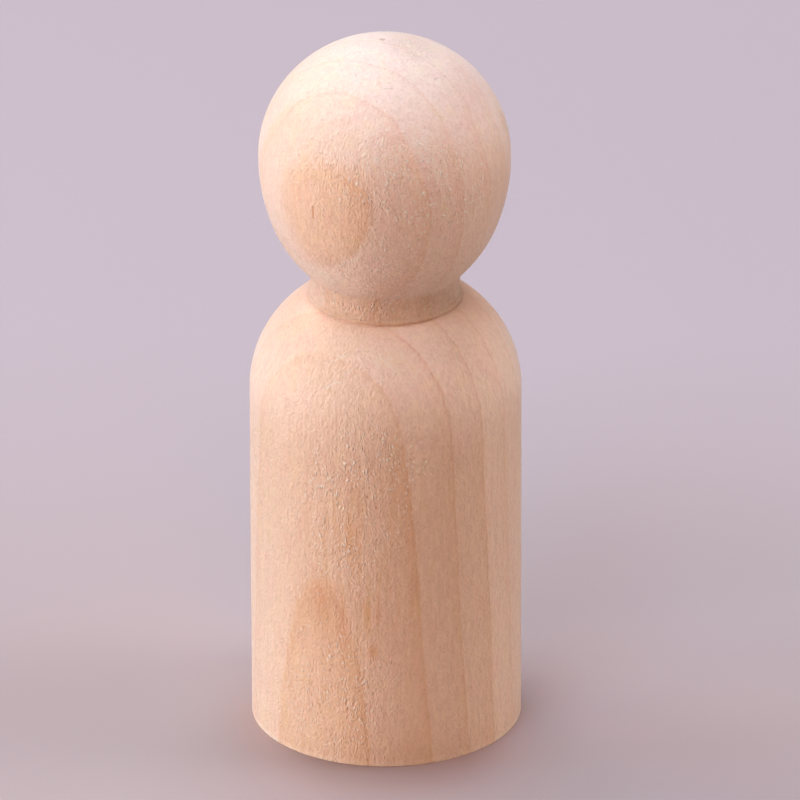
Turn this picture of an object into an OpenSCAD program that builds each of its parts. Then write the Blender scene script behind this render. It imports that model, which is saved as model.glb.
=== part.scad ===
// Plain wooden peg doll, turned in one piece from a straight-grained round of wood.
// Millimetres, +Z up, origin at the centre of the flat foot.

/* [Body] */
// Diameter of the straight body
body_d = 22.2; // [18:0.1:32]
// Height of the straight body above the foot
body_h = 29.2; // [12:0.1:60]
// Radius that eases the edge of the foot
foot_edge_r = 0.3; // [0.1:0.05:1.5]

/* [Shoulder] */
// How far the shoulder reaches in from the side of the body to its highest ring
shoulder_w = 5.6; // [4.5:0.1:8]
// Height of that ring above the straight body
shoulder_h = 8.3; // [4:0.1:8.9]

/* [Neck] */
// Diameter of the neck
neck_d = 12.2; // [9:0.1:14]
// Radius that blends the neck into the underside of the head
neck_fillet_r = 0.8; // [0.3:0.05:1.2]
// How far the floor of the turned cut lies below the shoulder's highest ring
neck_cut_drop = 0.1; // [0.02:0.01:0.3]
// Width of the cut
neck_cut_w = 0.12; // [0.05:0.01:0.3]
// Depth of the cut
neck_cut_depth = 0.2; // [0.05:0.01:0.6]
// Height of the rounded lip above the cut
neck_lip_h = 0.3; // [0.2:0.01:0.6]
// How far the lip stands out from the neck
neck_lip_out = 0.08; // [0.02:0.01:0.09]

/* [Head] */
// Diameter of the head at its widest ring
head_d = 20.5; // [17:0.1:26]
// Height of the widest ring above the cut
head_lift = 12.4; // [11.5:0.1:16]
// Height of the crown above the widest ring
head_top_h = 10; // [6:0.1:18]
// Radius of the wide arc under the widest ring
jaw_r = 15.8; // [12:0.1:19]
// Radius of the arc that runs on from it to the neck
chin_r = 11.2; // [9.5:0.1:14]

/* [Hidden] */
$fn = 128;

body_r = body_d / 2;
neck_r = neck_d / 2;
head_r = head_d / 2;

// Heights of the shoulder's highest ring, of the cut, of the head's widest ring and of the crown
shoulder_z = body_h + shoulder_h;
cut_z = shoulder_z - neck_cut_drop;
ring_z = cut_z + head_lift;
crown_z = ring_z + head_top_h;

// How far two rounds that only touch are laid into each other, so that their edges cross
touch_lap = 0.0001;

// Directions of the normal: level, straight up and down, and where two arcs of an outline meet.
// The last two are sides of right triangles with whole sides, so the arcs meet exactly.
level = [1, 0];
up = [0, 1];
down = [0, -1];
oval_meet_shares = [3, 4] / 5;
jaw_meet_shares = [117, -44] / 125;

// The arcs of a quarter oval, from its width and height, drawn on a triangle of sides 3, 4 and 5
function oval_side_r(width, height) = (3 * height - width) / 2;
function oval_top_r(width, height) = 2 * width - height;

// Slice of a disc between two directions
module disc_slice(centre, radius, from, to) {
    reach = 2 * radius;
    intersection() {
        translate(centre) circle(r = radius);
        polygon([centre, centre + reach * from, centre + reach * to]);
    }
}

// Quarter oval from a given corner, with what lies between it and the axis
module oval_profile(corner, width, height) {
    side_r = oval_side_r(width, height);
    top_r = oval_top_r(width, height);
    side_centre = corner + [width - side_r, 0];
    top_centre = corner + [0, height - top_r];
    disc_slice(side_centre, side_r, level, oval_meet_shares);
    disc_slice(top_centre, top_r, oval_meet_shares, up);
    polygon([
        [0, corner[1]],
        corner + width * level,
        side_centre + side_r * oval_meet_shares,
        corner + height * up,
        [0, corner[1] + height]
    ]);
}

module body_profile() {
    square([body_r - foot_edge_r, body_h]);
    translate([0, foot_edge_r]) square([body_r, body_h - foot_edge_r]);
    translate([body_r - foot_edge_r, foot_edge_r]) circle(r = foot_edge_r);
    oval_profile([body_r - shoulder_w, body_h], shoulder_w, shoulder_h);
}

jaw_centre = [head_r - jaw_r, ring_z];
chin_centre = jaw_centre + (jaw_r - chin_r) * jaw_meet_shares;

module head_profile() {
    oval_profile([0, ring_z], head_r, head_top_h);
    disc_slice(jaw_centre, jaw_r, level, jaw_meet_shares);
    disc_slice(chin_centre, chin_r, jaw_meet_shares, down);
    square([neck_r, ring_z]);
}

// What the turning tool takes away to part the neck from the shoulder
module neck_cut() {
    translate([neck_r - neck_cut_depth, cut_z]) square([body_d, neck_cut_w]);
}

module neck_lip() {
    lip_r = neck_lip_h / 2;
    translate([neck_r + neck_lip_out - lip_r, cut_z + neck_cut_w + lip_r]) circle(r = lip_r);
}

// Round that fills the hollow corner between the neck and the underside of the head
module neck_fillet() {
    apart = chin_r + neck_fillet_r - touch_lap;
    across = neck_r + neck_fillet_r - chin_centre[0];
    centre = [neck_r + neck_fillet_r, chin_centre[1] - sqrt(apart * apart - across * across)];
    touch = chin_centre + chin_r / apart * (centre - chin_centre);
    difference() {
        polygon([[0, centre[1]], centre, touch, [0, touch[1]]]);
        translate(centre) circle(r = neck_fillet_r);
    }
}

module doll_profile() {
    intersection() {
        square([body_d + head_d, crown_z + head_d]);
        union() {
            difference() {
                union() {
                    body_profile();
                    head_profile();
                    neck_fillet();
                }
                neck_cut();
            }
            neck_lip();
        }
    }
}

module turned_doll() {
    color("#ddb79c") rotate_extrude() doll_profile();
}

turned_doll();
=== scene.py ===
"""A bare turned wooden peg doll: its looks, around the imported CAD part.

Lengths named here are in millimetres, and MM turns them into Blender's metres. The doll stands
on the floor at z = 0, and the camera looks along +Y. An azimuth is 0 towards the camera and
grows towards the picture's right.
"""

import math

import bpy
from mathutils import Matrix, Vector, noise


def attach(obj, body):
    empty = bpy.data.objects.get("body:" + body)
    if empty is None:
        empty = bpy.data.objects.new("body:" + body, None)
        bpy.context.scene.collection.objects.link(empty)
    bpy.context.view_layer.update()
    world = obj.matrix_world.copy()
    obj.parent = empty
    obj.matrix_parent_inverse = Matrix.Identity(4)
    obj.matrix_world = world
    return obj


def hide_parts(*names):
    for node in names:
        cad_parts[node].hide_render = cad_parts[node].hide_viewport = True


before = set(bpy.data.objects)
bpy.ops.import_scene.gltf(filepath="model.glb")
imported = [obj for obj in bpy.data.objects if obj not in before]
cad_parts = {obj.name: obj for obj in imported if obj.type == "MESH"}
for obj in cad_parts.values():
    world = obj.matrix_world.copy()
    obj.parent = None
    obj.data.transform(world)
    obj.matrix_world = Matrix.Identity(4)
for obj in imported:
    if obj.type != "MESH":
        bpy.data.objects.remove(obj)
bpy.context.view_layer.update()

MM = 0.001
# The places of a Mix node's two colour inputs, which share their names with other inputs.
MIX_FIRST, MIX_SECOND = 6, 7

# The turned shape. The sizes are the CAD part's, but the foot's edge, the cut and the lip are finer.
BODY_R = 11.1
BODY_H = 29.2
FOOT_EDGE_R = 0.05
SHOULDER_W = 5.6
SHOULDER_H = 8.3
SHOULDER_Z = BODY_H + SHOULDER_H
NECK_R = 6.1
NECK_FILLET_R = 0.8
CUT_R = 6.14
CUT_Z = SHOULDER_Z - 0.1
CUT_TOP_Z = CUT_Z + 0.06
LIP_R = 0.2
LIP_Z = CUT_TOP_Z + 0.18
LIP_CENTRE_R = 6.06
HEAD_R = 10.25
RING_Z = CUT_Z + 12.4
HEAD_TOP_H = 10.0
CROWN_Z = RING_Z + HEAD_TOP_H
JAW_R = 15.8
CHIN_R = 11.2

# Both ovals join their two arcs where the surface leans by 3, 4 and 5.
OVAL_COS, OVAL_SIN = 0.6, 0.8
# The jaw and the chin arcs join where the surface normal is this.
CHIN_COS, CHIN_SIN = 0.936, -0.352

# The mesh: how many points go round it, and how far apart its rings are on each stretch.
SEGMENTS = 320
STEP = 0.29
BASE_STEP = 0.45
WALL_STEP = 0.32
NECK_STEP = 0.2
CUT_STEP = 0.12
CUT_WALL_STEP = 0.06
LIP_STEP = 0.05
SAME_PLACE = 1e-4

# The surface's slight unevenness: a slow swell, and early wood worn a little lower than late wood.
SWELL = 0.022
SWELL_WIDTH = 7.0
SWELL_HEIGHT = 11.0
EARLY_WEAR = 0.008
EARLY_SHARE = 0.45
# Round the lip, from this far under its middle to this far over it, only a part of it is left.
LIP_WEAR = 0.3
LIP_WEAR_UNDER = 0.3
LIP_WEAR_OVER = 0.2

# The camera, from the silhouette in the photograph.
CAMERA_DISTANCE = 1150.0
CAMERA_ELEVATION = math.radians(25.3)
CAMERA_AIM_Z = 30.0
CAMERA_LENS = 635.08
CAMERA_SENSOR = 36.0
CAMERA_ROLL = -0.003
CAMERA_CLIP = (50.0, 20000.0)
# How far right of the aim and below it the middle of the picture is, across the view.
AIM_RIGHT = 1.18
AIM_DOWN = 1.904

# The lamps stand this far from the doll, and are this wide.
LAMP_DISTANCE = 700.0
LAMP_SIZE = 300.0
# Each lamp's name, azimuth, elevation, power and colour.
LAMPS = [
    ("left_low", -90, 8, 3.37, (0.58, 0.80, 1.0)),
    ("left_front_low", -60, 8, 2.08, (1.0, 0.84, 0.64)),
    ("right_low", 90, 8, 1.79, (1.0, 0.94, 0.73)),
    ("back_left", -150, 30, 1.16, (1.0, 0.55, 0.57)),
    ("back_left_high", -120, 52, 1.54, (0.78, 0.95, 1.0)),
    ("front_left_high", -30, 52, 1.69, (0.61, 0.80, 1.0)),
    ("front_high", 0, 52, 0.67, (1.0, 0.40, 0.11)),
    ("right_high", 90, 52, 1.01, (0.57, 0.75, 1.0)),
    ("over_back", 180, 74, 2.52, (0.31, 0.75, 1.0)),
    ("over_right", 120, 74, 0.88, (1.0, 0.68, 0.73)),
]

FLOOR_HALF_SIDE = 2500.0
# The floor's colour, in front of the first depth and behind the second: its paler back is painted light.
FLOOR_FRONT, FLOOR_FRONT_Y = (0.492, 0.360, 0.340, 1), 5.0
FLOOR_BACK, FLOOR_BACK_Y = (0.535, 0.400, 0.400, 1), 75.0
FLOOR_ROUGHNESS = 0.7
# The floor's shade close to the foot, which is weaker at both sides of the doll.
# It is full where the Ambient Occlusion node gives CONTACT_OPEN or less.
CONTACT_REACH = 7.0
CONTACT_TINT = (0.76, 0.66, 0.60, 1)
CONTACT_OPEN = 0.5
CONTACT_RIGHT, CONTACT_RIGHT_END, CONTACT_RIGHT_REST = 6.0, 11.0, 0.3
CONTACT_LEFT, CONTACT_LEFT_END, CONTACT_LEFT_REST = -4.0, -10.0, 0.35
# The camera sees this plain colour in place of the floor under the lamps and of the dark beyond.
BACKDROP = (0.60, 0.51, 0.59, 1)
BACKDROP_START = 110.0
BACKDROP_FULL = 230.0

# Growth rings: one smooth family of surfaces about a pith that lies out in front, to the left.
RING_AZIMUTH = math.radians(-28.88)
RING_CURVE = -0.01333
RING_LEAN = 0.65253
RING_LEAN_2 = -0.02962
RING_LEAN_3 = -0.0085
RING_TWIST = 0.00651
RING_LEVEL_Z = 30.0
RING_LEVEL_UNIT = 10.0
RING_START = -1.5
RING_GAP = 3.02
RING_GAP_GROWTH = 0.085
# Near the top of the head the rings lie this much further forward.
RING_FORWARD = 0.45
# How far through a ring its late wood fades out, and how it fades.
LATE_END = 0.62
LATE_POWER = 1.6
# The thin dark line is this share of a ring.
LINE_SHARE = 0.1
# How far before its dark line a ring starts to darken: where it is clear, and more where soft.
EDGE_CLEAR, EDGE_SOFT = 0.04, 0.26
# Rings waver slowly and finely: patches in a millimetre, and how far they shift, along x, y, z.
RING_SWAY = ((0.16, 0.16, 0.05), (0.9, 0.9, 0.0))
RING_JITTER = ((2.4, 2.4, 0.5), (0.35, 0.35, 0.0))
# The dark line's strength, and how much more it has on the crown and at the shoulder's outer rings.
LINE_STRENGTH, LINE_CROWN, LINE_SHOULDER = 0.42, 0.12, 0.5
# What is left of it at the shoulder's left, and how soft an edge has no line.
LINE_LEFT_REST = 0.25
LINE_SOFT_END = 0.7
# The bands' strength at the outermost line, from where it grows to 1 at the oval's line.
BAND_OUTERMOST = 0.6
# What is left of the bands on the crown and on the shoulder.
BAND_CROWN_REST, BAND_SHOULDER_REST = 0.35, 0.5
# A line's number holds from 0.2 of a ring before it to 0.8 after it.
NUMBER_SHIFT = 0.3
# The outermost ring is the one before this line, and the head's dark oval is within that line.
OUTER_RING = 1
OVAL_RING = 3
# How far from their lines these two start and are full, in rings.
OUTER_EDGE = 0.03
OVAL_START, OVAL_FULL = -0.02, 0.06

# Areas of the surface, as products of soft steps: 0 at the first place on an axis, 1 at the second.
HEAD_STEP = ("z", 37.0, 44.0)
UNDER_CUT_STEP = ("z", CUT_Z + 0.1, CUT_Z)
COLLAR_STEPS = [("z", 37.6, 38.4), ("z", 45.5, 42.0)]
COLLAR_LOW_STEPS = [("z", 37.5, 37.8), ("z", 40.5, 39.0)]
SHOULDER_STEPS = [("z", 26.0, 33.0), UNDER_CUT_STEP]
AREAS = {
    "head": [HEAD_STEP],
    "upper_head": [("z", 50.5, 53.0), ("z", 56.5, 54.5)],
    "soft_head": [HEAD_STEP, ("z", 56.0, 54.0)],
    "bright_left": [("x", -3.0, -6.5)],
    "bright_top": [("z", 51.5, 53.0)],
    "under_head": [("z", 38.5, 40.5), ("z", 46.0, 43.5)],
    # Painted light on the head's lit left side.
    "lit_head_left": [("x", 0.0, -5.0), ("z", 54.5, 52.0), ("z", 39.5, 42.0), ("y", 6.0, 3.0)],
    # Painted sheen along the head's right edge.
    "head_edge_sheen": [("x", 8.5, 11.0), HEAD_STEP],
    "crown": [("z", 52.0, 58.5)],
    # Painted light: the upper head is made paler towards its right.
    "lit_crown_right": [("z", 49.5, 56.0), ("x", -6.5, 0.5)],
    # Painted shade at the crown's right edge.
    "shaded_crown_edge": [("x", 4.0, 7.0), ("z", 54.0, 56.5)],
    "collar": COLLAR_STEPS,
    "collar_low": COLLAR_LOW_STEPS,
    # Painted shade on the neck's front and right, under the head.
    "shaded_collar_right": COLLAR_LOW_STEPS + [("x", -5.0, 0.5)],
    # Painted light on the neck's lit left side.
    "lit_collar_left": COLLAR_STEPS + [("x", 0.0, -5.5), ("y", 2.0, -1.5)],
    "shoulder": SHOULDER_STEPS,
    "shoulder_left": SHOULDER_STEPS + [("x", 1.0, -5.0)],
    # Painted light on the body's lit left side.
    "lit_body_left": [("x", -6.0, -9.5), ("z", 32.0, 26.0), ("y", 4.0, 0.5)],
    "body_right": [("x", 0.0, 3.0), UNDER_CUT_STEP, ("z", 34.0, 28.0)],
    # Painted light: the body is made paler towards the foot.
    "lit_body_low": [("z", 20.0, 3.0)],
    # Painted highlight along the foot's edge.
    "foot": [("z", 0.65, 0.15)],
}
# Ring edges are soft in the bright left of the head, and only this much so at its top.
BRIGHT_TOP_SHARE = 0.5
# Oval patches: azimuth, height, half width, half height, and where in it the edge starts.
PATCHES = {
    "brow": (5, 52.5, 7.0, 4.5, 0.2),
    "warm": (-13, 52.1, 2.2, 2.0, 0.1),
    # Painted shade under the head.
    "chin": (0, 44.5, 7.0, 3.5, 0.3),
    "chin_shade": (-29, 43.6, 2.6, 2.2, 0.1),
    # Painted highlight on the shoulder's rim, left of the cut.
    "rim_left_highlight": (-64, 37.2, 2.5, 1.3, 0.1),
    "shoulder_shade": (39, 35.9, 3.5, 3.0, 0.1),
    # Painted light where the shoulder faces up, over a paler sanded patch.
    "lit_shoulder_right": (9, 35.8, 7.2, 6.5, 0.1),
    "streaky_part": (-9, 19.0, 7.5, 13.0, 0.2),
    "head_tufts": (18, 50.5, 9.0, 6.5, 0.3),
    "body_tufts": (-10, 26.0, 9.0, 8.0, 0.3),
}
# Where raised fibres catch the light, in the same way.
ROUGH_SPOTS = [
    (-20, 22.0, 7.0, 11.0, 0.3),
    (-22, 7.0, 7.5, 9.0, 0.3),
    (-2, 27.0, 6.0, 7.0, 0.3),
    (10, 51.0, 12.0, 6.5, 0.3),
    (30, 50.5, 7.0, 5.0, 0.3),
    (0, 44.5, 9.0, 5.0, 0.3),
]
# How rough the wood is away from them.
ROUGH_REST = 0.12
# Flecks grow from weak to strong over this part of the tufts noise.
TUFTS_START, TUFTS_FULL = 0.38, 0.58
TUFTS_WEAK, TUFTS_STRONG = 0.3, 1.1
# What is left of them in the head's dark oval, and how much stronger they are in some parts.
TUFTS_OVAL_REST = 0.7
TUFT_BOOSTS = [
    ("collar_low", 0.6),
    ("body_tufts", 0.3),
    ("head_tufts", 0.5),
]

# Painted shade in the cut under the lip: how far from the cut's corner it is full, and how far it ends.
CUT_FULL, CUT_END = 0.05, 0.26
CUT_OUT = 0.06
# It is weak at the left, up to the first x, and full from the second.
CUT_WEAK_X, CUT_STRONG_X, CUT_WEAK = -5.5, 2.0, 0.3

# The lathe's mark on the crown, just off the axis, and the end grain beside it.
PIP_X, PIP_Y = -0.12, 0.68
PIP_R = 0.16
PIP_DEPTH = 0.07
# The mark is looked for only this far under the crown.
PIP_ZONE = 1.0
END_GRAIN_X, END_GRAIN_Y = 2.3, -0.3
END_GRAIN_FULL, END_GRAIN_END = 0.9, 2.9

# Single marks on the surface, each at an azimuth and a height.
# Stains and specks have half a width and half a height, and strokes two ends and a width.
# A stain and a streak end with how strong they are.
STAINS = [
    (-15, 20.5, 0.8, 3.4, 1.0),
    (-8, 13.9, 0.45, 3.2, 1.0),
    (-5.6, 10.4, 0.7, 1.4, 1.0),
    (-28, 14.6, 1.7, 3.0, 0.4),
    (84, 53.5, 1.0, 3.0, 0.9),
    (-67, 55.5, 1.1, 0.9, 0.35),
]
SPECKS = [
    (67.8, 44.48, 0.13, 0.13),
    (15.9, 46.7, 0.1, 0.14),
    (17.8, 41.33, 0.13, 0.1),
    (32.4, 40.95, 0.13, 0.09),
    (65.2, 36.47, 0.1, 0.1),
    (-29.8, 5.03, 0.09, 0.11),
]
SCRATCHES = [
    ((-32.6, 34.9), (-19.9, 35.85), 0.13),
    ((-28.1, 33.3), (-21.4, 33.9), 0.12),
    ((-20.0, 34.4), (-14.9, 35.2), 0.1),
    ((14.0, 34.4), (17.9, 34.8), 0.1),
    ((-0.6, 9.0), (1.5, 9.25), 0.08),
]
CRACKS = [
    ((-3.0, 58.17), (6.9, 58.17), 0.08),
    ((44.6, 58.22), (63.9, 58.11), 0.08),
    ((-31.6, 58.88), (-28.4, 58.66), 0.07),
]
STREAKS = [
    ((-5.9, 50.4), (-5.9, 48.2), 0.12, 0.6),
    ((-34.5, 49.1), (-34.6, 48.1), 0.16, 1.0),
    ((-21.0, 12.5), (-17.5, 8.5), 0.12, 0.4),
    ((-13.0, 15.0), (-12.0, 11.0), 0.12, 0.4),
]
CRACK_STRENGTH = 0.7
# A stroke is full up to this share of its width.
STROKE_CORE = 0.3
# Where in a stain and in a speck the soft edge starts.
STAIN_EDGE, SPECK_EDGE = 0.0, 0.5

# Noises in the wood: patches in a millimetre along x, y and z, then detail and roughness.
# Few patches along z make streaks that run up the doll, as its fibres do.
NOISES = {
    "long_fibre": ((4.5, 4.5, 0.3), 2.0, 0.5),
    "fibre": ((5.0, 5.0, 3.7), 3.0, 0.68),
    "fuzz": ((6.5, 6.5, 3.6), 1.0, 0.5),
    "cloud": ((0.3, 0.3, 0.1), 3.0, 0.55),
    "blush": ((0.9, 0.9, 0.35), 2.0, 0.6),
    "tufts": ((0.8, 0.8, 0.4), 2.0, 0.6),
    "strips": ((1.5, 1.5, 0.13), 2.0, 0.6),
    "mottle": ((2.2, 2.2, 1.3), 1.0, 0.5),
    "kept": ((0.4, 0.4, 0.4), 1.0, 0.5),
}
# What shows of them: nothing at the first value, and all from the second.
SHOWN = {
    "pink": ("blush", 0.5, 0.7),
    "yellow": ("blush", 0.5, 0.3),
    "dark_strips": ("strips", 0.5, 0.66),
    "dark_streaks": ("long_fibre", 0.62, 0.38),
    "dark_fibres": ("fibre", 0.55, 0.35),
    "dark_mottle": ("mottle", 0.6, 0.4),
    "unsanded": ("kept", 0.45, 0.65),
    "unbroken": ("fuzz", 0.3, 0.42),
    "coarse": ("fuzz", 0.42, 0.6),
}
# Turning leaves faint rings about the axis: this noise lies over the radius and the height.
LATHE_NOISE = ((5.0, 0.0, 5.0), 2.0, 0.6)
# Torn grain leans by this angle.
TORN_ANGLE = math.radians(32)
TORN_NOISE = ((5.0, 5.0, 1.1), 2.0, 0.6)
# Torn grain and the fine grain darken the wood over this part of them.
DARK_TORN = (0.48, 0.34)
DARK_GRAIN = (0.0, -0.7)
# Single fibres sway by this: patches in a millimetre and reach, along x, y and z.
FIBRE_SWAY = ((1.6, 1.6, 1.0), (0.6, 0.6, 0.5))
# Single fibres: how many in a millimetre, their size, the share that shows, and a shift.
RAISED_FLECKS = ((4.6, 4.6, 2.5), 0.56, 0.9, 0.0)
PIT_FLECKS = ((4.6, 4.6, 2.6), 0.5, 0.9, 9.5)
HIGH_GRAIN = ((6.5, 6.5, 3.0), 0.5, 1.0, 4.2)
LOW_GRAIN = ((6.5, 6.5, 3.0), 0.5, 1.0, 17.3)
# A fleck is full up to this share of its size, and a higher power leaves fewer strong ones.
FLECK_CORE = 0.15
FLECK_POWER = 1.3

# The wood's colour in its dark and its pale clouds.
WOOD_DARK = (0.83, 0.495, 0.320, 1)
WOOD_PALE = (0.865, 0.541, 0.367, 1)
# What each mask multiplies the colour by, in this order. Several of them are painted light or shade.
TINTS = [
    ("head", (1.07, 1.13, 1.25)),
    ("crown", (1.0, 1.04, 1.06)),
    ("shoulder", (1.10, 1.18, 1.30)),
    # Painted light on the upper head's right.
    ("lit_crown_right", (1.13, 1.14, 1.24)),
    # Painted light on the shoulder's front and right, over a paler sanded patch.
    ("lit_shoulder_right", (1.13, 1.17, 1.24)),
    # Painted shade on the neck under the head.
    ("shaded_collar_right", (0.90, 0.87, 0.86)),
    # Painted light on the lower body.
    ("lit_body_low", (1.08, 1.10, 1.13)),
    # Painted light: a little paler where raised fibres catch the light.
    ("rough", (1.04, 1.045, 1.05)),
    # Painted light: the neck is made a little paler against the shade of its raised fibres.
    ("collar", (1.03, 1.01, 1.0)),
    # Painted highlight on the foot's rounded edge.
    ("foot", (1.12, 1.22, 1.30)),
    ("oval", (1.0, 0.97, 0.925)),
    # Painted light on the neck's lit left side.
    ("lit_collar_left", (1.13, 1.16, 1.19)),
    # Painted sheen along the head's right edge.
    ("head_edge_sheen", (1.03, 1.06, 1.08)),
    # Painted shade at the crown's right edge.
    ("shaded_crown_edge", (0.92, 0.85, 0.85)),
    # Painted light on the head's lit left side.
    ("lit_head_left", (1.06, 1.07, 1.08)),
    ("brow", (1.05, 1.07, 1.08)),
    # Painted shade under the head.
    ("chin", (0.94, 0.97, 0.97)),
    ("shoulder_shade", (0.925, 0.915, 0.905)),
    ("chin_shade", (0.925, 0.915, 0.905)),
    ("warm", (1.0, 0.95, 0.88)),
    # Painted highlight on the shoulder's rim, left of the cut.
    ("rim_left_highlight", (1.08, 1.11, 1.10)),
    # Painted light on the body's lit left side.
    ("lit_body_left", (1.07, 1.09, 1.10)),
    ("outer", (1.06, 1.12, 1.18)),
    ("streaky", (0.96, 0.88, 0.79)),
    ("pink", (1.0, 0.955, 0.965)),
    ("yellow", (1.0, 1.01, 0.94)),
    ("band", (0.96, 0.885, 0.775)),
    ("line", (0.93, 0.83, 0.79)),
    ("stains", (0.93, 0.80, 0.62)),
    ("dark_streaks", (0.965, 0.94, 0.92)),
    ("dark_fibres", (0.94, 0.91, 0.89)),
    ("dark_mottle", (0.955, 0.945, 0.945)),
    ("dark_grain", (0.95, 0.92, 0.90)),
    ("pits", (0.84, 0.75, 0.68)),
    ("dark_torn", (0.88, 0.83, 0.80)),
    ("end_grain", (0.84, 0.84, 0.80)),
    ("cracks", (0.66, 0.60, 0.55)),
    ("streaks", (0.78, 0.62, 0.50)),
    # Painted shade in the cut under the lip.
    ("cut", (0.84, 0.74, 0.68)),
]
# Raised fibres are paler, and their colour also holds painted glints where they catch the light.
RAISED_AND_GLINT_ON_BODY = (1.0, 0.79, 0.62, 1)
RAISED_AND_GLINT_ON_HEAD = (1.0, 0.83, 0.68, 1)
SCRATCH_COLOUR, SCRATCH_STRENGTH = (0.98, 0.81, 0.70, 1), 0.45
LIGHTEST = (0.99, 0.99, 0.99)

# Relief that is drawn as bump. Fibres and grain stand this high, and less or more in some parts.
FIBRE_HEIGHT = 0.1
GRAIN_SHARE = 0.25
CROWN_REST = 0.4
SHOULDER_REST = 0.95
FIBRE_BOOSTS = [
    ("collar", 0.5),
    ("collar_low", 1.0),
    ("lit_body_left", 0.45),
    ("rough", 0.15),
    ("brow", 0.35),
    ("chin", -0.4),
]
# What is left of the raised fibres' height on the head, and of the pits' depth on the chin.
RAISED_HEAD_REST, PIT_CHIN_REST = 0.6, 0.3
# The height of everything else.
HEIGHTS = [
    ("long_fibre", 0.03),
    ("raised_relief", 0.07),
    ("pit_relief", -0.045),
    ("mottle", 0.06),
    ("lathe", 0.03),
    ("torn", 0.03),
    ("marks", -0.02),
]

# Roughness of low and of high fibres, the fibre noise of both, and what a raised fibre adds.
ROUGHNESS_LOW, ROUGHNESS_HIGH = 0.66, 0.50
FIBRE_LOW, FIBRE_HIGH = 0.3, 0.7
ROUGHNESS_RAISED = -0.25
SHEEN_WEIGHT = 0.7
SHEEN_ROUGHNESS = 0.45
SHEEN_TINT = (1.0, 0.92, 0.86, 1)


def arc(centre_r, centre_z, radius, first, last, step=STEP):
    """Stations (r, z, normal angle) along an arc, from the angle first to the angle last."""
    count = max(2, round(abs(last - first) * radius / step))
    stations = []
    for i in range(count + 1):
        angle = first + (last - first) * i / count
        r = centre_r + radius * math.cos(angle)
        z = centre_z + radius * math.sin(angle)
        stations.append((r, z, angle))
    return stations


def straight(r0, z0, r1, z1, angle, step=STEP):
    """Stations along a straight part of the outline."""
    count = max(1, round(math.hypot(r1 - r0, z1 - z0) / step))
    stations = []
    for i in range(count + 1):
        t = i / count
        stations.append((r0 + (r1 - r0) * t, z0 + (z1 - z0) * t, angle))
    return stations


def oval(width, height, base_z, outer_r, last=math.pi / 2):
    """A quarter oval from a steep side arc and a flatter top arc."""
    side_r = (3 * height - width) / 2
    top_r = 2 * width - height
    join = math.atan2(OVAL_SIN, OVAL_COS)
    side_centre = outer_r - side_r
    top_centre_r = side_centre + (side_r - top_r) * OVAL_COS
    top_centre_z = base_z + (side_r - top_r) * OVAL_SIN
    side = arc(side_centre, base_z, side_r, 0, join)
    top = arc(top_centre_r, top_centre_z, top_r, join, last)
    return side + top[1:]


def foot_and_wall():
    """The underside, its edge and the straight body."""
    down, out = -math.pi / 2, 0.0
    foot_r = BODY_R - FOOT_EDGE_R
    base = straight(0, 0, foot_r, 0, down, BASE_STEP)
    edge = arc(foot_r, FOOT_EDGE_R, FOOT_EDGE_R, down, out, CUT_WALL_STEP)
    wall = straight(BODY_R, FOOT_EDGE_R, BODY_R, BODY_H, out, WALL_STEP)
    return [base, edge, wall]


def shoulder_and_cut():
    """The shoulder up to its rim, the fine cut and the rounded lip above it."""
    out, up = 0.0, math.pi / 2
    top_r = 2 * SHOULDER_W - SHOULDER_H
    side_r = (3 * SHOULDER_H - SHOULDER_W) / 2
    top_centre_z = BODY_H + (side_r - top_r) * OVAL_SIN
    rim_angle = math.asin((CUT_Z - top_centre_z) / top_r)
    shoulder = oval(SHOULDER_W, SHOULDER_H, BODY_H, BODY_R, rim_angle)
    rim_r = shoulder[-1][0]
    cut_floor = straight(rim_r, CUT_Z, CUT_R, CUT_Z, up, CUT_STEP)
    cut_wall = straight(CUT_R, CUT_Z, CUT_R, CUT_TOP_Z, out, CUT_WALL_STEP)
    lip_start = math.asin((CUT_TOP_Z - LIP_Z) / LIP_R)
    lip_end = math.acos((NECK_R - LIP_CENTRE_R) / LIP_R)
    lip = arc(LIP_CENTRE_R, LIP_Z, LIP_R, lip_start, lip_end, LIP_STEP)
    return [shoulder, cut_floor, cut_wall, lip]


def neck_and_head():
    """The straight neck, its fillet, and the head from the chin to the crown."""
    lip_end = math.acos((NECK_R - LIP_CENTRE_R) / LIP_R)
    neck_start = LIP_Z + LIP_R * math.sin(lip_end)
    chin_centre_r = HEAD_R - JAW_R + (JAW_R - CHIN_R) * CHIN_COS
    chin_centre_z = RING_Z + (JAW_R - CHIN_R) * CHIN_SIN
    fillet_r = NECK_R + NECK_FILLET_R
    reach = CHIN_R + NECK_FILLET_R
    fillet_z = chin_centre_z - math.sqrt(reach**2 - (fillet_r - chin_centre_r) ** 2)
    meet = math.atan2(fillet_z - chin_centre_z, fillet_r - chin_centre_r)
    neck = straight(NECK_R, neck_start, NECK_R, fillet_z, 0.0, NECK_STEP)
    hollow = arc(fillet_r, fillet_z, NECK_FILLET_R, math.pi, math.pi + meet, CUT_STEP)
    fillet = [(r, z, angle - math.pi) for r, z, angle in hollow]
    chin_end = math.atan2(CHIN_SIN, CHIN_COS)
    chin = arc(chin_centre_r, chin_centre_z, CHIN_R, meet, chin_end)
    jaw = arc(HEAD_R - JAW_R, RING_Z, JAW_R, chin_end, 0)
    head = oval(HEAD_R, HEAD_TOP_H, RING_Z, HEAD_R)
    return [neck, fillet, chin, jaw, head]


def outline():
    """The stations from the middle of the underside to the crown."""
    whole = []
    for part in foot_and_wall() + shoulder_and_cut() + neck_and_head():
        for r, z, angle in part:
            if not whole or math.hypot(r - whole[-1][0], z - whole[-1][1]) > SAME_PLACE:
                whole.append((r, z, angle))
    return whole


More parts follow.
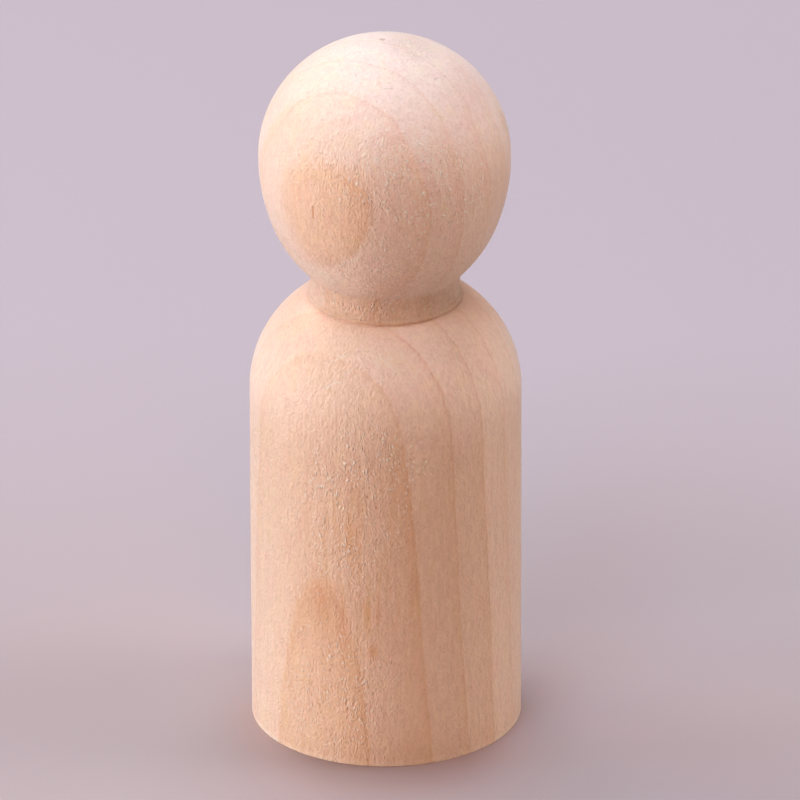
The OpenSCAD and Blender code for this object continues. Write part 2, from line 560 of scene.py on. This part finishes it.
def ring_height(x, y, z):
    """The growth-ring field at a point: its whole values are the dark late-wood lines."""
    g = x * math.sin(RING_AZIMUTH) - y * math.cos(RING_AZIMUTH)
    across = x * math.cos(RING_AZIMUTH) + y * math.sin(RING_AZIMUTH)
    up = (z - RING_LEVEL_Z) / RING_LEVEL_UNIT
    lean = RING_LEAN * up + RING_LEAN_2 * up**2 + RING_LEAN_3 * up**3
    t = g + RING_CURVE * across**2 - lean + RING_TWIST * across * up - RING_START
    return (math.sqrt(RING_GAP**2 + 4 * RING_GAP_GROWTH * t) - RING_GAP) / (2 * RING_GAP_GROWTH)


def relief(x, y, z):
    """How far the surface lies under the turned outline at a point."""
    slow = noise.noise(Vector((x / SWELL_WIDTH, y / SWELL_WIDTH, z / SWELL_HEIGHT)))
    swell = SWELL * (0.5 + 0.5 * slow)
    ring = ring_height(x, y, z)
    phase = ring - math.floor(ring)
    early = EARLY_WEAR * min(1, phase / EARLY_SHARE)
    pip = 0
    if z > CROWN_Z - PIP_ZONE:
        pip = PIP_DEPTH * math.exp(-(((x - PIP_X) ** 2 + (y - PIP_Y) ** 2) / PIP_R**2))
    return swell + early + pip


def sunk_point(r, z, angle, turn):
    """The vertex at a station and a turn about the axis, in metres, eased by the relief."""
    x, y = r * math.sin(turn), -r * math.cos(turn)
    sink = relief(x, y, z)
    if z < FOOT_EDGE_R:
        sink *= max(0, (r - BODY_R + FOOT_EDGE_R) / FOOT_EDGE_R)
    if LIP_Z - LIP_WEAR_UNDER < z < LIP_Z + LIP_WEAR_OVER:
        sink *= LIP_WEAR
    out = r - sink * math.cos(angle)
    high = z - sink * math.sin(angle)
    return (out * math.sin(turn) * MM, -out * math.cos(turn) * MM, high * MM)


def build_doll():
    """The doll as one closed turned mesh, eased by a slight unevenness."""
    verts = []
    rings = []
    for r, z, angle in outline():
        turns = [0.0] if r < SAME_PLACE else [2 * math.pi * k / SEGMENTS for k in range(SEGMENTS)]
        rings.append(range(len(verts), len(verts) + len(turns)))
        verts += [sunk_point(r, z, angle, turn) for turn in turns]
    faces = []
    for low, top in zip(rings, rings[1:]):
        for k in range(SEGMENTS):
            n = (k + 1) % SEGMENTS
            if len(low) == 1:
                faces.append((low[0], top[n], top[k]))
            elif len(top) == 1:
                faces.append((low[k], low[n], top[0]))
            else:
                faces.append((low[k], low[n], top[n], top[k]))
    mesh = bpy.data.meshes.new("doll")
    mesh.from_pydata(verts, [], faces)
    mesh.validate()
    mesh.shade_smooth()
    made = bpy.data.objects.new("doll", mesh)
    bpy.context.scene.collection.objects.link(made)
    return made


class Graph:
    """Short calls that add nodes to one material."""

    def __init__(self, material):
        material.use_nodes = True
        self.tree = material.node_tree
        self.tree.nodes.clear()

    def node(self, kind, **settings):
        made = self.tree.nodes.new(kind)
        for name, value in settings.items():
            setattr(made, name, value)
        return made

    def plug(self, value, socket):
        if isinstance(value, bpy.types.NodeSocket):
            self.tree.links.new(value, socket)
        else:
            socket.default_value = value

    def math(self, operation, *values):
        made = self.node("ShaderNodeMath", operation=operation)
        for value, socket in zip(values, made.inputs):
            self.plug(value, socket)
        return made.outputs[0]

    def times(self, first, *others):
        """The product of several values."""
        whole = first
        for value in others:
            whole = self.math("MULTIPLY", whole, value)
        return whole

    def most(self, first, *others):
        """The largest of several values."""
        whole = first
        for value in others:
            whole = self.math("MAXIMUM", whole, value)
        return whole

    def vector(self, operation, *values):
        made = self.node("ShaderNodeVectorMath", operation=operation)
        for value, socket in zip(values, made.inputs):
            self.plug(value, socket)
        return made.outputs[0]

    def measure(self, operation, *values):
        """A vector operation that gives a number."""
        return self.vector(operation, *values).node.outputs["Value"]

    def scale(self, vector, amount):
        """A vector made longer by an amount."""
        made = self.node("ShaderNodeVectorMath", operation="SCALE")
        self.plug(vector, made.inputs[0])
        self.plug(amount, made.inputs["Scale"])
        return made.outputs[0]

    def split(self, vector):
        made = self.node("ShaderNodeSeparateXYZ")
        self.plug(vector, made.inputs[0])
        return made.outputs

    def join(self, x, y, z):
        made = self.node("ShaderNodeCombineXYZ")
        for value, socket in zip((x, y, z), made.inputs):
            self.plug(value, socket)
        return made.outputs[0]

    def noise(self, vector, density, detail, rough, output="Fac"):
        made = self.node("ShaderNodeTexNoise")
        self.plug(self.vector("MULTIPLY", vector, density), made.inputs["Vector"])
        made.inputs["Scale"].default_value = 1.0
        made.inputs["Detail"].default_value = detail
        made.inputs["Roughness"].default_value = rough
        return made.outputs[output]

    def wander(self, vector, density, reach):
        """A random shift that changes smoothly from place to place."""
        shift = self.noise(vector, density, 2.0, 0.5, output="Color")
        return self.vector("MULTIPLY", self.vector("SUBTRACT", shift, (0.5, 0.5, 0.5)), reach)

    def ramp(self, value, low, high, to_low=0.0, to_high=1.0, smooth=True):
        made = self.node("ShaderNodeMapRange")
        made.interpolation_type = "SMOOTHSTEP" if smooth else "LINEAR"
        for item, socket in zip((value, low, high, to_low, to_high), made.inputs):
            self.plug(item, socket)
        return made.outputs[0]

    def less(self, mask, rest):
        """1 where the mask is 0, and rest where it is 1."""
        return self.ramp(mask, 0.0, 1.0, 1.0, rest)

    def more(self, mask, boost):
        """1 where the mask is 0, and 1 and the boost where it is 1."""
        return self.math("MULTIPLY_ADD", mask, boost, 1.0)

    def mix(self, amount, first, second, blend="MIX"):
        made = self.node("ShaderNodeMix", data_type="RGBA", blend_type=blend)
        self.plug(amount, made.inputs["Factor"])
        self.plug(first, made.inputs[MIX_FIRST])
        self.plug(second, made.inputs[MIX_SECOND])
        return made.outputs[2]

    def finish(self, shader):
        """Make this shader the material's surface."""
        result = self.node("ShaderNodeOutputMaterial")
        self.plug(shader.outputs[0], result.inputs["Surface"])


def surface_point(azimuth, z):
    """The point of the turned surface at an azimuth in degrees and a height."""
    stations = [station for station in outline() if station[1] > FOOT_EDGE_R]
    r = min(stations, key=lambda station: abs(station[1] - z))[0]
    turn = math.radians(azimuth)
    return (r * math.sin(turn), -r * math.cos(turn), z)


def patch(g, p, azimuth, z, half_wide, half_high, edge):
    """1 inside a soft-edged oval patch of the surface, and 0 away from it."""
    away = g.vector("SUBTRACT", p, surface_point(azimuth, z))
    away = g.vector("MULTIPLY", away, (1 / half_wide, 1 / half_wide, 1 / half_high))
    return g.ramp(g.measure("LENGTH", away), 1.0, edge)


def stroke(g, p, first, last, width):
    """1 along a thin line between two places (azimuth, z) on the surface, and 0 beside it."""
    start, end = Vector(surface_point(*first)), Vector(surface_point(*last))
    way = end - start
    from_start = g.vector("SUBTRACT", p, tuple(start))
    along = g.measure("DOT_PRODUCT", from_start, tuple(way / way.length_squared))
    along = g.math("MINIMUM", g.math("MAXIMUM", along, 0.0), 1.0)
    gap = g.measure("DISTANCE", from_start, g.scale(way, along))
    return g.ramp(gap, width, width * STROKE_CORE)


def flecks(g, p, density, size, share, shift):
    """Short fibres at random places: 1 in the middle of the strongest, and most are weaker."""
    cells = g.node("ShaderNodeTexVoronoi", feature="F1")
    place = g.vector("ADD", g.vector("MULTIPLY", p, density), (shift, shift, shift))
    g.plug(place, cells.inputs["Vector"])
    cells.inputs["Scale"].default_value = 1.0
    inside = g.ramp(cells.outputs["Distance"], size, size * FLECK_CORE)
    chance = g.ramp(g.split(cells.outputs["Color"])[0], 1.0 - share, 1.0, smooth=False)
    return g.times(inside, g.math("POWER", chance, FLECK_POWER))


def area_masks(g, p, r):
    """The parts of the doll that the eye tells apart."""
    x, y, z = g.split(p)
    axes = {"x": x, "y": y, "z": z}
    mask = {}
    for name, steps in AREAS.items():
        mask[name] = g.times(*[g.ramp(axes[axis], low, full) for axis, low, full in steps])
    for name, shape in PATCHES.items():
        mask[name] = patch(g, p, *shape)
    # Painted shade in the cut under the lip, weaker on the lit left.
    corner = g.join(g.math("SUBTRACT", r, CUT_R + CUT_OUT), g.math("SUBTRACT", z, CUT_Z), 0.0)
    near = g.ramp(g.measure("LENGTH", corner), CUT_END, CUT_FULL)
    mask["cut"] = g.times(near, g.ramp(x, CUT_WEAK_X, CUT_STRONG_X, CUT_WEAK, 1.0))
    bright = g.most(mask["bright_left"], g.times(mask["bright_top"], BRIGHT_TOP_SHARE))
    mask["soft"] = g.times(bright, mask["soft_head"])
    spots = [patch(g, p, *spot) for spot in ROUGH_SPOTS]
    mask["rough"] = g.math("MULTIPLY_ADD", g.most(*spots, mask["collar"]), 1.0 - ROUGH_REST, ROUGH_REST)
    return mask


def ring_field(g, p, upper_head):
    """The growth-ring field as nodes, with a waver: see ring_height."""
    shift = g.vector("ADD", g.wander(p, *RING_SWAY), g.wander(p, *RING_JITTER))
    x, y, z = g.split(g.vector("ADD", p, shift))
    sine, cosine = math.sin(RING_AZIMUTH), math.cos(RING_AZIMUTH)
    out = g.math("SUBTRACT", g.times(x, sine), g.times(y, cosine))
    across = g.math("ADD", g.times(x, cosine), g.times(y, sine))
    up = g.times(g.math("SUBTRACT", z, RING_LEVEL_Z), 1 / RING_LEVEL_UNIT)
    lean = g.math("MULTIPLY_ADD", up, RING_LEAN_3, RING_LEAN_2)
    lean = g.times(g.math("MULTIPLY_ADD", lean, up, RING_LEAN), up)
    curve = g.times(across, across, RING_CURVE)
    twist = g.times(across, up, RING_TWIST)
    t = g.math("SUBTRACT", g.math("ADD", g.math("ADD", out, curve), twist), lean)
    t = g.math("SUBTRACT", t, RING_START)
    t = g.math("MULTIPLY_ADD", upper_head, -RING_FORWARD, t)
    root = g.math("SQRT", g.math("MULTIPLY_ADD", t, 4 * RING_GAP_GROWTH, RING_GAP**2))
    return g.times(g.math("SUBTRACT", root, RING_GAP), 0.5 / RING_GAP_GROWTH)


def ring_masks(g, p, mask):
    """Bands of late wood, and the thin dark lines at their edges, which are soft in places."""
    ring = ring_field(g, p, mask["upper_head"])
    phase = g.math("FRACT", ring)
    index = g.math("ROUND", g.math("SUBTRACT", ring, NUMBER_SHIFT))
    late = g.math("POWER", g.ramp(phase, LATE_END, 0.0, smooth=False), LATE_POWER)
    edge = g.math("SUBTRACT", 1.0, g.math("MULTIPLY_ADD", mask["soft"], EDGE_SOFT, EDGE_CLEAR))
    late = g.most(late, g.ramp(phase, edge, 1.0))
    outwards = g.ramp(index, 0.0, OVAL_RING, BAND_OUTERMOST, 1.0, smooth=False)
    left_over = g.times(g.less(mask["crown"], BAND_CROWN_REST), g.less(mask["shoulder"], BAND_SHOULDER_REST))
    mask["band"] = g.times(late, outwards, left_over)

    line = g.times(g.ramp(phase, LINE_SHARE, 0.0), g.ramp(mask["soft"], LINE_SOFT_END, 0.0))
    outer_lines = g.times(mask["shoulder"], g.ramp(index, OVAL_RING, OVAL_RING - 1))
    strength = g.math("MULTIPLY_ADD", mask["crown"], LINE_CROWN, LINE_STRENGTH)
    strength = g.math("MULTIPLY_ADD", outer_lines, LINE_SHOULDER, strength)
    mask["line"] = g.times(line, strength, g.less(mask["shoulder_left"], LINE_LEFT_REST))
    outer = g.ramp(ring, OUTER_RING + OUTER_EDGE, OUTER_RING - OUTER_EDGE)
    mask["outer"] = g.times(outer, mask["body_right"])
    mask["oval"] = g.times(mask["head"], g.ramp(ring, OVAL_RING + OVAL_START, OVAL_RING + OVAL_FULL))


def noise_masks(g, p, r, mask):
    """Clouds and fibres in the wood, and turning marks where sanding left them."""
    for name, settings in NOISES.items():
        mask[name] = g.noise(p, *settings)
    for name, (source, start, full) in SHOWN.items():
        mask[name] = g.ramp(mask[source], start, full)
    mask["streaky"] = g.times(mask["dark_strips"], mask["streaky_part"])
    lathe = g.noise(g.join(r, 0.0, g.split(p)[2]), *LATHE_NOISE)
    mask["lathe"] = g.times(lathe, mask["unsanded"])


def fleck_masks(g, bent, mask):
    """Raised fibres, which catch the light in patches, the pits between them, and fine grain."""
    tufts = g.ramp(mask["tufts"], TUFTS_START, TUFTS_FULL, TUFTS_WEAK, TUFTS_STRONG)
    tufted = g.times(mask["rough"], tufts, g.less(mask["oval"], TUFTS_OVAL_REST))
    for name, boost in TUFT_BOOSTS:
        tufted = g.times(tufted, g.more(mask[name], boost))
    mask["raised"] = g.times(flecks(g, bent, *RAISED_FLECKS), tufted)
    mask["pits"] = g.times(flecks(g, bent, *PIT_FLECKS), tufted)
    mask["raised_relief"] = g.times(mask["raised"], g.less(mask["head"], RAISED_HEAD_REST))
    mask["pit_relief"] = g.times(mask["pits"], g.less(mask["chin"], PIT_CHIN_REST))
    mask["grain"] = g.math("SUBTRACT", flecks(g, bent, *HIGH_GRAIN), flecks(g, bent, *LOW_GRAIN))
    mask["dark_grain"] = g.ramp(mask["grain"], *DARK_GRAIN)


def torn_masks(g, p, mask):
    """Torn grain, which leans across the underside of the head."""
    leaning = g.node("ShaderNodeVectorRotate", rotation_type="Y_AXIS")
    g.plug(p, leaning.inputs["Vector"])
    leaning.inputs["Angle"].default_value = TORN_ANGLE
    torn = g.noise(leaning.outputs[0], *TORN_NOISE)
    mask["torn"] = g.times(torn, mask["under_head"])
    mask["dark_torn"] = g.times(mask["under_head"], g.ramp(torn, *DARK_TORN))


def mark_masks(g, p, bent, mask):
    """Single marks, most of which waver and break up with the fibres."""
    stains = [g.times(patch(g, bent, *stain[:4], STAIN_EDGE), stain[4]) for stain in STAINS]
    mask["stains"] = g.most(*stains)
    streaks = [g.times(stroke(g, p, *streak[:3]), streak[3]) for streak in STREAKS]
    mask["streaks"] = g.most(*streaks)
    scratches = g.most(*[stroke(g, bent, *scratch) for scratch in SCRATCHES])
    mask["scratches"] = g.times(scratches, mask["unbroken"])
    cracks = g.most(*[stroke(g, bent, *crack) for crack in CRACKS])
    cracks = g.times(cracks, mask["unbroken"], CRACK_STRENGTH)
    specks = g.most(*[patch(g, p, *speck, SPECK_EDGE) for speck in SPECKS])
    pip = g.measure("DISTANCE", p, (PIP_X, PIP_Y, CROWN_Z))
    mask["cracks"] = g.most(cracks, specks, g.ramp(pip, 2 * PIP_R, PIP_R))
    mask["marks"] = g.most(mask["cracks"], mask["scratches"])
    away = g.measure("DISTANCE", p, (END_GRAIN_X, END_GRAIN_Y, CROWN_Z))
    mask["end_grain"] = g.times(g.ramp(away, END_GRAIN_END, END_GRAIN_FULL), mask["coarse"])


def wood_colour(g, mask):
    """The wood's colour, from its clouds down to its single marks, with painted light and shade in places.
    """
    colour = g.mix(mask["cloud"], WOOD_DARK, WOOD_PALE)
    for name, tint in TINTS:
        colour = g.mix(mask[name], colour, (*tint, 1), "MULTIPLY")
    colour = g.mix(mask["raised"], colour, g.mix(mask["head"], RAISED_AND_GLINT_ON_BODY, RAISED_AND_GLINT_ON_HEAD))
    colour = g.mix(g.times(mask["scratches"], SCRATCH_STRENGTH), colour, SCRATCH_COLOUR)
    return g.vector("MINIMUM", colour, LIGHTEST)


def wood_height(g, mask):
    """The wood's fine relief in millimetres."""
    worn = g.times(g.less(mask["crown"], CROWN_REST), g.less(mask["shoulder"], SHOULDER_REST))
    for name, boost in FIBRE_BOOSTS:
        worn = g.math("MULTIPLY_ADD", mask[name], boost, worn)
    height = g.math("MULTIPLY_ADD", mask["grain"], GRAIN_SHARE, mask["fibre"])
    height = g.times(height, worn, FIBRE_HEIGHT)
    for name, amount in HEIGHTS:
        height = g.math("MULTIPLY_ADD", mask[name], amount, height)
    return height


def wood():
    """Bare sanded wood with growth rings, fibres and turning marks, in the doll's own frame."""
    material = bpy.data.materials.new("wood")
    g = Graph(material)
    p = g.scale(g.node("ShaderNodeTexCoord").outputs["Object"], 1 / MM)
    x, y = g.split(p)[:2]
    r = g.math("SQRT", g.math("ADD", g.times(x, x), g.times(y, y)))
    mask = area_masks(g, p, r)
    ring_masks(g, p, mask)
    bent = g.vector("ADD", p, g.wander(p, *FIBRE_SWAY))
    noise_masks(g, p, r, mask)
    fleck_masks(g, bent, mask)
    torn_masks(g, p, mask)
    mark_masks(g, p, bent, mask)

    bump = g.node("ShaderNodeBump")
    bump.inputs["Strength"].default_value = 1.0
    bump.inputs["Distance"].default_value = MM
    g.plug(wood_height(g, mask), bump.inputs["Height"])
    roughness = g.ramp(mask["fibre"], FIBRE_LOW, FIBRE_HIGH, ROUGHNESS_LOW, ROUGHNESS_HIGH)
    roughness = g.math("MULTIPLY_ADD", mask["raised"], ROUGHNESS_RAISED, roughness)
    shader = g.node("ShaderNodeBsdfPrincipled")
    g.plug(wood_colour(g, mask), shader.inputs["Base Color"])
    g.plug(roughness, shader.inputs["Roughness"])
    g.plug(bump.outputs[0], shader.inputs["Normal"])
    shader.inputs["Sheen Weight"].default_value = SHEEN_WEIGHT
    shader.inputs["Sheen Roughness"].default_value = SHEEN_ROUGHNESS
    shader.inputs["Sheen Tint"].default_value = SHEEN_TINT
    g.finish(shader)
    return material


def floor_paint():
    """The pale table top, with painted light towards the back and painted shade by the foot, which turns
    into the plain backdrop far from the doll.
    """
    material = bpy.data.materials.new("floor_paint")
    g = Graph(material)
    place = g.node("ShaderNodeTexCoord").outputs["Object"]
    x, y = g.split(place)[:2]
    colour = g.mix(g.ramp(y, FLOOR_FRONT_Y * MM, FLOOR_BACK_Y * MM), FLOOR_FRONT, FLOOR_BACK)
    near = g.node("ShaderNodeAmbientOcclusion")
    near.inputs["Distance"].default_value = CONTACT_REACH * MM
    shade = g.ramp(near.outputs["AO"], CONTACT_OPEN, 1.0, 1.0, 0.0, smooth=False)
    right = g.ramp(x, CONTACT_RIGHT * MM, CONTACT_RIGHT_END * MM, 1.0, CONTACT_RIGHT_REST)
    left = g.ramp(x, CONTACT_LEFT_END * MM, CONTACT_LEFT * MM, CONTACT_LEFT_REST, 1.0)
    colour = g.mix(g.times(shade, right, left), colour, CONTACT_TINT, "MULTIPLY")
    shader = g.node("ShaderNodeBsdfPrincipled")
    g.plug(colour, shader.inputs["Base Color"])
    shader.inputs["Roughness"].default_value = FLOOR_ROUGHNESS
    shader.inputs["Specular IOR Level"].default_value = 0.0

    plain = g.node("ShaderNodeEmission")
    plain.inputs["Color"].default_value = BACKDROP
    plain.inputs["Strength"].default_value = 1.0
    far = g.ramp(g.measure("LENGTH", place), BACKDROP_START * MM, BACKDROP_FULL * MM)
    seen = g.node("ShaderNodeLightPath").outputs["Is Camera Ray"]
    whole = g.node("ShaderNodeMixShader")
    g.plug(g.times(far, seen), whole.inputs[0])
    g.plug(shader.outputs[0], whole.inputs[1])
    g.plug(plain.outputs[0], whole.inputs[2])
    g.finish(whole)
    return material


def build_floor():
    """A plain sheet under the doll, wide enough to fill the picture."""
    side = FLOOR_HALF_SIDE * MM
    mesh = bpy.data.meshes.new("floor")
    corners = [(-side, -side, 0), (side, -side, 0), (side, side, 0), (-side, side, 0)]
    mesh.from_pydata(corners, [], [(0, 1, 2, 3)])
    floor = bpy.data.objects.new("floor", mesh)
    bpy.context.scene.collection.objects.link(floor)
    mesh.materials.append(floor_paint())


def camera():
    """The camera at the photograph's angle."""
    sine, cosine = math.sin(CAMERA_ELEVATION), math.cos(CAMERA_ELEVATION)
    place = Vector((0, -CAMERA_DISTANCE * cosine, CAMERA_AIM_Z + CAMERA_DISTANCE * sine))
    aim = Vector((AIM_RIGHT, -AIM_DOWN * sine, CAMERA_AIM_Z - AIM_DOWN * cosine))
    data = bpy.data.cameras.new("camera")
    data.lens = CAMERA_LENS
    data.sensor_width = CAMERA_SENSOR
    data.clip_start = CAMERA_CLIP[0] * MM
    data.clip_end = CAMERA_CLIP[1] * MM
    made = bpy.data.objects.new("camera", data)
    bpy.context.scene.collection.objects.link(made)
    turn = (aim - place).to_track_quat("-Z", "Y").to_matrix().to_4x4()
    roll = Matrix.Rotation(CAMERA_ROLL, 4, "Z")
    made.matrix_world = Matrix.Translation(place * MM) @ turn @ roll
    bpy.context.scene.camera = made


def lamp(name, azimuth, elevation, power, colour):
    """A soft round lamp that faces the doll from that azimuth and elevation, in degrees."""
    data = bpy.data.lights.new(name, "AREA")
    data.shape = "DISK"
    data.size = LAMP_SIZE * MM
    data.energy = power
    data.color = colour
    made = bpy.data.objects.new(name, data)
    bpy.context.scene.collection.objects.link(made)
    around, above = math.radians(azimuth), math.radians(elevation)
    level = math.cos(above)
    way = Vector((math.sin(around) * level, -math.cos(around) * level, math.sin(above)))
    turn = (-way).to_track_quat("-Z", "Y").to_matrix().to_4x4()
    place = way * LAMP_DISTANCE + Vector((0, 0, CAMERA_AIM_Z))
    made.matrix_world = Matrix.Translation(place * MM) @ turn


def studio():
    """The world, which gives no light and shows the camera the plain backdrop."""
    world = bpy.data.worlds.new("studio")
    bpy.context.scene.world = world
    world.use_nodes = True
    background = world.node_tree.nodes["Background"]
    background.inputs["Color"].default_value = BACKDROP
    seen = world.node_tree.nodes.new("ShaderNodeLightPath")
    world.node_tree.links.new(seen.outputs["Is Camera Ray"], background.inputs["Strength"])


bpy.context.scene.view_settings.view_transform = "Standard"
camera()
doll = build_doll()
doll.data.materials.append(wood())
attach(doll, "root")
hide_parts("turned_doll")
build_floor()
for settings in LAMPS:
    lamp(*settings)
studio()
